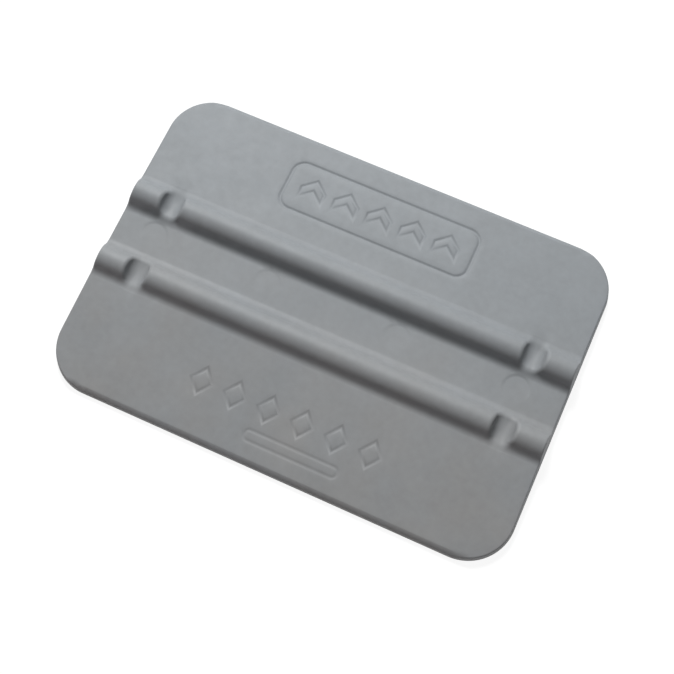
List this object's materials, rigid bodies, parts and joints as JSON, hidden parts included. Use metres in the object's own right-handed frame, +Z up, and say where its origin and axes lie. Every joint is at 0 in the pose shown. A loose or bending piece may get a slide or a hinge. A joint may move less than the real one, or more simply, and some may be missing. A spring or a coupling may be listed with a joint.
{
  "type": "squeegee card",
  "caption": "Hard plastic hand squeegee card with rounded corners, bevelled working edges and notched grip ribs, for smoothing vinyl and film.",
  "frame": {"origin": "middle of the flat underside, where the card lies on a table", "axes": "+X along the two long working edges, +Y across the card towards the wing with the framed chevrons, +Z up out of the ribbed face"},
  "size_m": [0.1, 0.07, 0.006],
  "materials": {
    "grey_plastic": "satin moulded surface with a fine spark-eroded grain"
  },
  "bodies": {
    "root": {"squeegee_card": "grey_plastic"}
  },
  "joints": []
}
